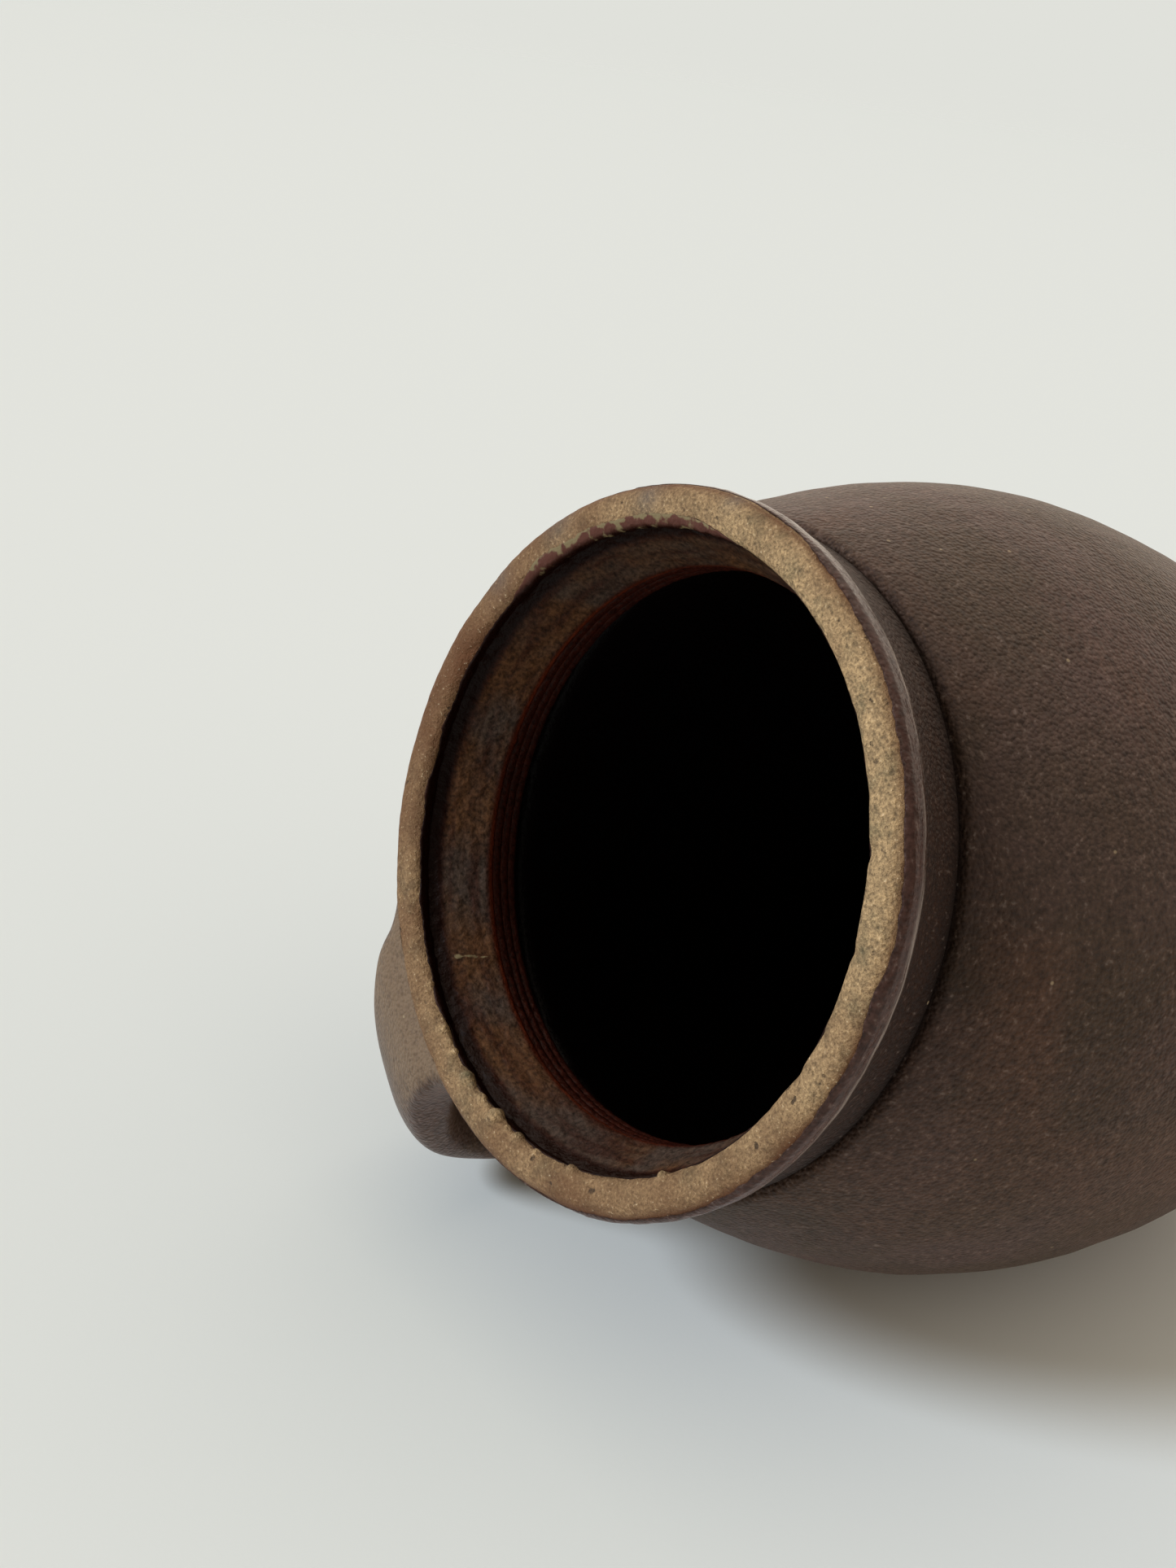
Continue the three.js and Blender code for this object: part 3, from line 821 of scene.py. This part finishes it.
class JAR_OT_throat_glaze(bpy.types.Operator):
    """Makes the red-brown coat inside, from the lip's inner edge over the ledge to the floor"""

    bl_idname = "jar.throat_glaze"
    bl_label = "Throat glaze"

    def execute(self, context):
        jar, finish = context.scene.jar_body, context.scene.jar_finish
        _, wall = outer_wall(jar)
        line = rounded(np.vstack([lip(jar)[ARC_STEPS:], inner_wall(jar, wall)[:-1]]), 0.38 * MM)
        along = distance_along(line)
        drops = (jar.lip_inner_round, jar.ledge_drop, jar.throat_drop, jar.throat_drop + jar.throat_length)
        recess_start, ledge, ledge_end, throat_end = [
            along[np.argmax(line[:, 1] < jar.lip_top - drop)] for drop in drops
        ]

        # The glaze runs farthest up the lip over the high band, and stops lowest at the crumbs
        angle = turn_angles(600)
        high_band = 1 - smooth_step(math.radians(20), math.radians(34), np.abs(angle - math.radians(-27)))
        low = recess_start - (0.4 + 1.8 * high_band) * MM
        low = low + swells(angle, 0, (0.12, 8, 31), (0.06, 1.6, 32))
        for turn, size, width in (
            (95.6, 0.9, 1.5), (107.2, 0.8, 1.2), (118.1, 1.3, 1.6), (125.3, 0.7, 1.0),
            (150, 0.8, 3.0), (164.2, 1.0, 1.8), (-160, 0.5, 2.5), (40, 0.4, 3.0),
        ):
            away = turn_between(angle, math.radians(turn)) * jar.lip_inner
            low = low + size * MM * hump(away, 0, width * MM)
        low = np.maximum(low, 0.1 * MM)
        scratch = [(math.radians(80.4 + 1.8 * step), ledge + (ledge_end - ledge) * step, 0.36 * MM, 0.6)
                   for step in np.linspace(0.08, 0.9, 26)]
        knob = (math.radians(33.6), ledge_end + 0.6 * MM, 0.7 * MM, 0.6)

        def proud(place):
            """Where the scratch's raised edge and the knob stand out of the glaze, from nought to one."""
            return np.clip(dabs(angle, place, [*scratch, knob], jar.ledge_radius), 0, 1)

        def relief(place):
            """Lumps of dry glaze, a third as high below the ledge, the raised scratch and the knob."""
            lumps = np.clip(swells(angle, place, (0.06, 2.6, 33), (0.04, 9, 34)), -0.2 * MM, 0.2 * MM)
            lumps = lumps * (1 - 0.7 * smooth_step(ledge_end - 1 * MM, ledge_end, place))
            return lumps + 0.5 * MM * proud(place)

        # Close rows down to the throat's end, then wider and wider ones to the floor
        close = np.arange(0, throat_end + 2 * MM, 0.25 * MM)
        wider = np.linspace(0, 1, 30)[1:] ** 1.3
        share = np.append(close, close[-1] + (along[-1] - close[-1]) * wider) / along[-1]
        back_share = np.append(share[:-1:3], 1)
        floor_end = along[-1] + 3 * MM
        points, place = coat(line, low, floor_end, finish.glaze, relief, share, back_share, angle)

        # The two faces of the coat, each with a pole on the floor, and the edge that joins them
        rows, back_rows, turns = len(share), len(back_share), points.shape[1]
        shown, count = rows * turns, (rows + back_rows) * turns
        column = np.arange(turns)
        beside = (column + 1) % turns
        last = count - turns
        faces = ring_faces(rows, turns) + pole_faces(rows, turns, count, first=False)
        faces += (np.array(ring_faces(back_rows, turns)) + shown).tolist()
        faces += np.column_stack([beside + shown, column + shown, np.full(turns, count + 1)]).tolist()
        faces += np.column_stack([last + column, last + beside, beside, column]).tolist()
        poles = [(0, 0, jar.floor + finish.glaze), (0, 0, jar.floor - 0.05 * MM)]
        points = np.vstack([points.reshape(-1, 3), poles])

        # How far the glaze is rubbed dry on the ledge, painted dark as shade in the recess, worn to the bare
        # clay, thin on the rings' edges, run up onto the lip, and painted near-black as shade below the
        # throat
        rubbed = smooth_step(ledge - 0.8 * MM, ledge + 0.8 * MM, place)
        rubbed = rubbed * (1 - smooth_step(ledge_end - 1.2 * MM, ledge_end + 0.1 * MM, place))
        # Painted shade under the lip's inner edge, over the pooled glaze in the recess
        recess = smooth_step(recess_start - 1.3 * MM, recess_start - 0.2 * MM, place)
        recess = np.maximum(recess, (1 - high_band) * smooth_step(0.1 * MM, 0.9 * MM, place - low))
        recess = recess * (1 - smooth_step(ledge - 0.9 * MM, ledge + 0.6 * MM, place))
        bare = 0.2 * hump(place, low, 0.5 * MM) + 0.34 * high_band * (place < recess_start)
        bare = bare + 0.47 * proud(place)
        ring = 0.8 * hump(place, ledge_end, 0.2 * MM)
        pitch = (throat_end - ledge_end) / jar.rings
        for turn in range(jar.rings):
            ring = ring + 0.5 * hump(place, ledge_end + (turn + 0.5) * pitch, 0.14 * MM)
        run = 1 - smooth_step(recess_start - 1 * MM, recess_start, place)
        # Painted shade: near-black below the throat and on the coat's hidden back
        deep_shade = smooth_step(throat_end - 0.5 * MM, throat_end + 1.5 * MM, place)
        unseen = np.zeros(back_rows * turns + 2)
        fields = {name: np.append(values, unseen) for name, values in (
            ("rubbed", rubbed), ("recess", recess), ("bare", bare), ("ring", ring), ("run", run),
        )}
        fields["deep_shade"] = np.append(deep_shade, unseen + 1)
        finished("throat_glaze_coat", points, faces, throat_glaze_material(finish),
                 "inner_glaze", fields)
        return {"FINISHED"}


def centripetal(knots, steps):
    """A Catmull-Rom curve through the knots, spaced by the square root of their distances: each
    span is a cubic with the slopes that the spacing gives, and the ends are mirrored."""
    padded = np.vstack([2 * knots[0] - knots[1], knots, 2 * knots[-1] - knots[-2]])
    gap = np.sqrt(np.linalg.norm(np.diff(padded, axis=0), axis=1))[:, None]
    t = np.linspace(0, 1, steps, endpoint=False)[:, None]
    spans = []
    for i in range(1, len(padded) - 2):
        p0, p1, p2, p3 = padded[i - 1:i + 3]
        g0, g1, g2 = gap[i - 1:i + 2]
        slope1 = ((p1 - p0) / g0 - (p2 - p0) / (g0 + g1) + (p2 - p1) / g1) * g1
        slope2 = ((p2 - p1) / g1 - (p3 - p1) / (g1 + g2) + (p3 - p2) / g2) * g1
        spans.append(
            p1 + slope1 * t + (3 * (p2 - p1) - 2 * slope1 - slope2) * t ** 2
            + (2 * (p1 - p2) + slope1 + slope2) * t ** 3
        )
    return np.vstack([*spans, knots[-1:]])


def wall_gap(points, line, normals):
    """How far each point stands off the jar's skin, less than nought inside it, and the way out:
    measured in the plane of the axis from the nearest point of the skin's line."""
    flat = np.stack([np.hypot(points[..., 0], points[..., 1]), points[..., 2]], axis=-1)
    offset = flat[..., None, :] - line
    nearest = np.argmin((offset ** 2).sum(axis=-1), axis=-1)
    away = flat - line[nearest]
    gap = (away * normals[nearest]).sum(axis=-1)
    out = normals[nearest]
    turn = points[..., :2] / flat[..., :1]
    return gap, np.concatenate([turn * out[..., :1], out[..., 1:]], axis=-1)


def first_reach(gap, places, target):
    """Where each column of gap first rises past its target, read between the rows."""
    first = np.maximum(np.argmax(gap > target, axis=0), 1)
    column = np.arange(gap.shape[1])
    low, high = gap[first - 1, column], gap[first, column]
    share = np.clip((target - low) / (high - low), 0, 1)
    return places[first - 1] + (places[first] - places[first - 1]) * share


class JAR_OT_handle(bpy.types.Operator):
    """Makes the pulled strap handle with its roots wiped onto the collar and the belly"""

    bl_idname = "jar.handle"
    bl_label = "Handle"

    def execute(self, context):
        jar, strap = context.scene.jar_body, context.scene.jar_handle
        _, wall = outer_wall(jar)
        skin = rounded(np.vstack([wall, lip(jar)]), 0.5 * MM)
        skin = at_distance(skin, np.arange(0, distance_along(skin)[-1], 0.25 * MM))
        normals = sideways(skin)
        path = centripetal(np.array([
            (jar.groove_radius - jar.wall / 2, jar.lip_top - strap.top_drop),
            (jar.lip_outer + strap.neck_reach, jar.lip_top - strap.top_drop),
            (jar.lip_outer + strap.bend_reach, jar.lip_top - strap.bend_drop),
            (jar.lip_outer + strap.reach, jar.lip_top - strap.reach_drop),
            (jar.lip_outer + strap.return_reach, jar.lip_top - strap.return_drop),
            (jar.belly_radius - jar.wall, jar.lip_top - strap.end_drop),
        ]), 60)
        path_length = distance_along(path)[-1]
        sides = 72
        side = np.linspace(0, 2 * math.pi, sides, endpoint=False)
        across, through = np.cos(side), np.sin(side)

        def surface(share):
            """The strap at each share of its path and side of its section: the path's point plus
            a superellipse that swells towards the roots. Also the way out of the section."""
            middle = at_distance(path, share * path_length)
            ahead = at_distance(path, np.clip(share + 0.003, 0, 1) * path_length)
            behind = at_distance(path, np.clip(share - 0.003, 0, 1) * path_length)
            along = ahead - behind
            along /= np.linalg.norm(along, axis=-1, keepdims=True)
            outward = np.stack([along[..., 1], -along[..., 0]], axis=-1)
            near_end = np.minimum(share, 1 - share) / strap.root_share
            swell = np.clip(1 - near_end, 0, 1) ** 2
            half_width = (strap.width + strap.root_flare * swell) / 2
            half_thick = (strap.thickness + strap.root_swell * swell) / 2
            ripple = 0.08 * MM * np.cos(5 * side + 7 * share) * (1 - swell)
            power = 2 / (strap.squareness + strap.root_square * (1 - smooth_step(0.1, 0.35, share)))
            wide, thick = [np.sign(part) * np.abs(part) ** power for part in (across, through)]
            flat = middle + outward * (thick * (half_thick + ripple))[..., None]
            aside = strap.skew * (1 - smooth_step(0, 0.4, share))
            points = np.stack([wide * half_width + aside, flat[..., 0], flat[..., 1]], axis=-1)
            points[..., 2] = np.minimum(points[..., 2], jar.lip_top - 0.35 * MM)
            way = np.stack([across + 0 * share, *(outward[..., axis] * through for axis in (0, 1))], axis=-1)
            return points, way

        def settled(points, target):
            """The points moved along the skin's own way out until they stand off it by the target."""
            for _ in range(3):
                gap, out = wall_gap(points, skin, normals)
                points = points - out * (gap - target)[..., None]
            return points

        # Each root is wiped onto the skin by a quarter-round fillet, and closes inside the wall
        outer_face, inner_face = np.clip(-through, 0, 1), np.clip(through, 0, 1)
        fillet = strap.side_fillet + (strap.top_fillet - strap.side_fillet) * outer_face ** 2
        fillet = fillet + (strap.under_fillet - strap.side_fillet) * inner_face ** 2
        half_way = np.linspace(0, 0.5, 260)
        roots = []
        ends = []
        for far in (False, True):
            radius = fillet if not far else np.full(sides, strap.side_fillet)
            shares = (1 - half_way if far else half_way)[:, None] + 0 * side
            gap, _ = wall_gap(surface(shares)[0], skin, normals)
            rows = []
            for bend in np.linspace(0, QUARTER, 12):
                target = radius * (1 - math.sin(bend))
                spot = first_reach(gap, half_way, target)
                points, way = surface((1 - spot if far else spot)[None])
                points = points + way * (radius * (1 - math.cos(bend)))[:, None]
                rows.append(settled(points, target)[0])
            edge = rows[-1]
            middle = edge.mean(axis=0)
            for shrink in (1.0, 0.66, 0.33):
                rows.append(settled(middle + (edge - middle) * shrink, -0.6 * MM))
            start = first_reach(gap, half_way, radius)
            roots.append(np.array(rows))
            ends.append(1 - start if far else start)
        share = ends[0] + (ends[1] - ends[0]) * np.linspace(0, 1, 130)[1:-1, None]
        strip, _ = surface(share)
        grid = np.concatenate([roots[0][::-1], strip, roots[1]], axis=0)

        # The strap stays under the lip's top, and its upper root inside the wall, out of the mouth
        grid[..., 2] = np.minimum(grid[..., 2], jar.lip_top - 0.12 * MM)
        from_axis = np.hypot(grid[..., 0], grid[..., 1])
        grid[..., :2] *= np.maximum((jar.lip_inner + 2.5 * MM) / from_axis, 1)[..., None]

        # Hands wore the outer face beside the lip, and the worn glaze is dull
        flat = grid.reshape(-1, 3)
        from_lip = np.hypot(
            np.hypot(flat[:, 0], flat[:, 1]) - (jar.lip_outer - jar.lip_outer_round),
            flat[:, 2] - jar.lip_top,
        )
        on_face = smooth_step(0.5, 0.85, np.tile(outer_face, len(grid)))
        wear = np.append((1 - smooth_step(8 * MM, 26 * MM, from_lip)) * on_face, [0, 0])
        gloss = 0.8 - 0.8 * wear

        rows, count = len(grid), len(flat)
        points = np.vstack([flat, grid[0].mean(axis=0), grid[-1].mean(axis=0)])
        faces = ring_faces(rows, sides)
        faces += pole_faces(rows, sides, count, first=True) + pole_faces(rows, sides, count + 1, first=False)
        finished("pulled_handle", points, faces, bpy.data.materials["brown_stoneware_glaze"],
                 "handle", {"wear": wear, "gloss": gloss})
        return {"FINISHED"}


def surface_points(piece):
    """The points of a piece's mesh as rows."""
    points = np.empty(len(piece.data.vertices) * 3, np.float32)
    piece.data.vertices.foreach_get("co", points)
    return points.reshape(-1, 3)


# The camera's lens in millimetres, its place, and the ways to its right and out of its top
CAMERA_LENS = 49.94
CAMERA_PLACE = (-0.1247, -0.1778, 0.3443)
CAMERA_RIGHT = (-0.30394, -0.60041, -0.73968)
CAMERA_TOP = (0.83958, -0.53575, 0.08989)

# Ways to the window, to the window's side of the sky and to the brightest that the glaze mirrors:
# shares of up from the table, ahead of the camera along it, and to the camera's left
WINDOW_WAY = (0.53, -0.345, 0.775)
SKY_WAY = (0.71, -0.35, 0.61)
MIRRORED_WAY = (0.6, 0.75, 0)


class JAR_OT_stage(bpy.types.Operator):
    """Makes the table under the lying jar, the window light, the sky and the camera"""

    bl_idname = "jar.stage"
    bl_label = "Stage"

    def execute(self, context):
        scene, stage = context.scene, context.scene.jar_stage
        lean, roll = stage.lean, stage.roll
        up = Vector((math.cos(lean) * math.sin(roll), -math.cos(lean) * math.cos(roll), math.sin(lean)))
        low = min(float((surface_points(piece) @ np.array(up)).min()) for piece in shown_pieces())
        side = up.orthogonal().normalized()
        front = up.cross(side)

        # The table is a flat disc of rings at the jar's lowest point
        turns = 64
        reach = np.array([0.0001, 0.3, 1, 3, 6])[:, None, None]
        angle = np.linspace(0, 2 * math.pi, turns, endpoint=False)[None, :, None]
        ring = np.cos(angle) * np.array(side) + np.sin(angle) * np.array(front)
        points = np.array(up) * low + reach * ring
        mesh = bpy.data.meshes.new("table")
        mesh.from_pydata(points.reshape(-1, 3).tolist(), [], ring_faces(len(reach), turns))
        mesh.materials.append(table_material(stage))
        table = bpy.data.objects.new("table", mesh)
        if mesh.polygons[0].normal.dot(up) < 0:
            mesh.flip_normals()
        scene.collection.objects.link(table)
        table.visible_shadow = False
        table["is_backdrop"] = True

        camera_data = bpy.data.cameras.new("camera")
        camera_data.lens = CAMERA_LENS
        camera_data.sensor_width = 36
        camera_data.clip_start = 0.01
        camera = bpy.data.objects.new("camera", camera_data)
        scene.collection.objects.link(camera)
        right, top = Vector(CAMERA_RIGHT), Vector(CAMERA_TOP)
        back = right.cross(top).normalized()
        turn = Matrix((right, top, back)).transposed().to_4x4()
        camera.matrix_world = Matrix.Translation(CAMERA_PLACE) @ turn
        scene.camera = camera

        ahead = (-back - up * (-back).dot(up)).normalized()
        left = up.cross(ahead)
        to_window, to_sky, to_mirrored = [
            (up * above + ahead * forward + left * beside).normalized()
            for above, forward, beside in (WINDOW_WAY, SKY_WAY, MIRRORED_WAY)
        ]
        for name, strength, spread, tint, towards in (
            ("window", stage.window, stage.window_spread, stage.window_colour, to_window),
            ("fill", stage.fill, stage.fill_spread, stage.room_colour, -up),
        ):
            light = bpy.data.lights.new(name, "SUN")
            light.energy, light.angle, light.color = strength, spread, tint[:3]
            lamp = bpy.data.objects.new(name, light)
            lamp.matrix_world = towards.to_track_quat("Z", "Y").to_matrix().to_4x4()
            scene.collection.objects.link(lamp)

        world = bpy.data.worlds.new("soft_sky")
        scene.world = world
        tree = emptied_tree(world)
        path = add(tree, "ShaderNodeLightPath").outputs
        bearing = add(tree, "ShaderNodeTexCoord").outputs["Generated"]
        facing, beyond = [
            add(tree, "ShaderNodeVectorMath", {0: bearing, 1: towards}, operation="DOT_PRODUCT")
            for towards in (to_sky, to_mirrored)
        ]
        share = add(tree, "ShaderNodeMapRange", {"Value": facing}, interpolation_type="SMOOTHSTEP")
        tint = add(tree, "ShaderNodeMix", {
            "Factor": share, MIX_A: stage.room_colour, MIX_B: stage.sky_colour,
        }, data_type="RGBA")
        brightness = add(tree, "ShaderNodeMapRange", {
            "Value": share, "To Min": stage.room, "To Max": stage.sky,
        })
        sheen = add(tree, "ShaderNodeMapRange", {
            "Value": beyond, "From Max": 0.7, "To Min": stage.sheen_least, "To Max": stage.sheen_most,
        }, interpolation_type="SMOOTHSTEP")
        sky, mirrored, seen = [
            add(tree, "ShaderNodeBackground", {"Color": paint, "Strength": strength}) for paint, strength in (
                (tint, brightness), (stage.sheen_colour, sheen), (stage.background, 1),
            )
        ]
        glossy = add(tree, "ShaderNodeMixShader", {0: path["Is Glossy Ray"], 1: sky, 2: mirrored})
        shown = add(tree, "ShaderNodeMixShader", {0: path["Is Camera Ray"], 1: glossy, 2: seen})
        add(tree, "ShaderNodeOutputWorld", {"Surface": shown})
        scene.view_settings.view_transform = "Standard"
        return {"FINISHED"}


class JAR_PT_panel(bpy.types.Panel):
    """Lists the jar's pieces in the sidebar."""

    bl_idname = "JAR_PT_panel"
    bl_label = "Jar"
    bl_space_type = "VIEW_3D"
    bl_region_type = "UI"
    bl_category = "Jar"

    def draw(self, context):
        for operator in OPERATORS:
            self.layout.operator(operator.bl_idname)


OPERATORS = (
    JAR_OT_thrown_body, JAR_OT_outer_glaze, JAR_OT_throat_glaze, JAR_OT_handle, JAR_OT_stage,
)
GROUPS = {
    "jar_body": JarBodySizes, "jar_handle": JarHandleSizes, "jar_finish": JarFinish, "jar_stage": JarStage,
}


def register():
    for made in (*GROUPS.values(), *OPERATORS, JAR_PT_panel):
        bpy.utils.register_class(made)
    for name, group in GROUPS.items():
        setattr(bpy.types.Scene, name, PointerProperty(type=group))


def unregister():
    for name in GROUPS:
        delattr(bpy.types.Scene, name)
    for made in reversed((*GROUPS.values(), *OPERATORS, JAR_PT_panel)):
        bpy.utils.unregister_class(made)


def main():
    register()
    bpy.ops.jar.thrown_body()
    bpy.ops.jar.outer_glaze()
    bpy.ops.jar.throat_glaze()
    bpy.ops.jar.handle()
    bpy.ops.jar.stage()


if __name__ == "__main__":
    main()
